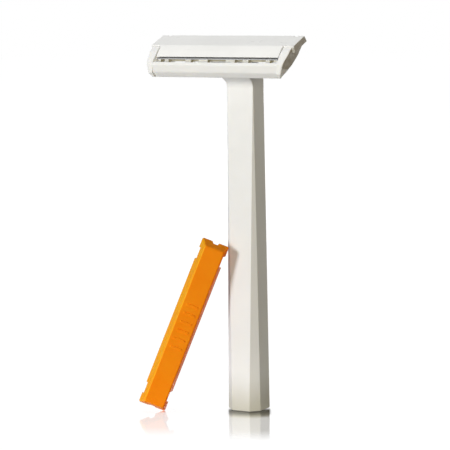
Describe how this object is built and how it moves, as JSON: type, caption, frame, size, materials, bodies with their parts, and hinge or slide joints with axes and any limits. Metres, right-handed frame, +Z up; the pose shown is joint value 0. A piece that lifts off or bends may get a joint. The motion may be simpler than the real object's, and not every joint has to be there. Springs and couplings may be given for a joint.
{
  "type": "disposable razor",
  "caption": "Upright one-piece safety razor with a hollow chamfered handle, a clamped single blade, and its clip-on blade cover leaning beside it.",
  "frame": {"origin": "on the flat rim of the hollow foot, in the middle of its front side, in the plane that the razor stands on", "axes": "+X along the blade, -Y the side that shaves, +Z up the handle to the head"},
  "size_m": [0.0491, 0.0254, 0.1078],
  "materials": {
    "white_plastic": "satin moulded white polystyrene",
    "blade_steel": "ground strip steel",
    "cap_plastic": "smooth moulded white polystyrene",
    "orange_plastic": "smooth slightly see-through orange plastic"
  },
  "bodies": {
    "razor": {"handle": "white_plastic", "blade": "blade_steel", "blade_cap": "cap_plastic"},
    "cover": {"cover": "orange_plastic"}
  },
  "joints": [
    {"name": "cover_slide", "type": "slide", "parent": "razor", "child": "cover", "axis": [-0.878, -0.4787, 0], "range_m": [0, 0.06]}
  ]
}
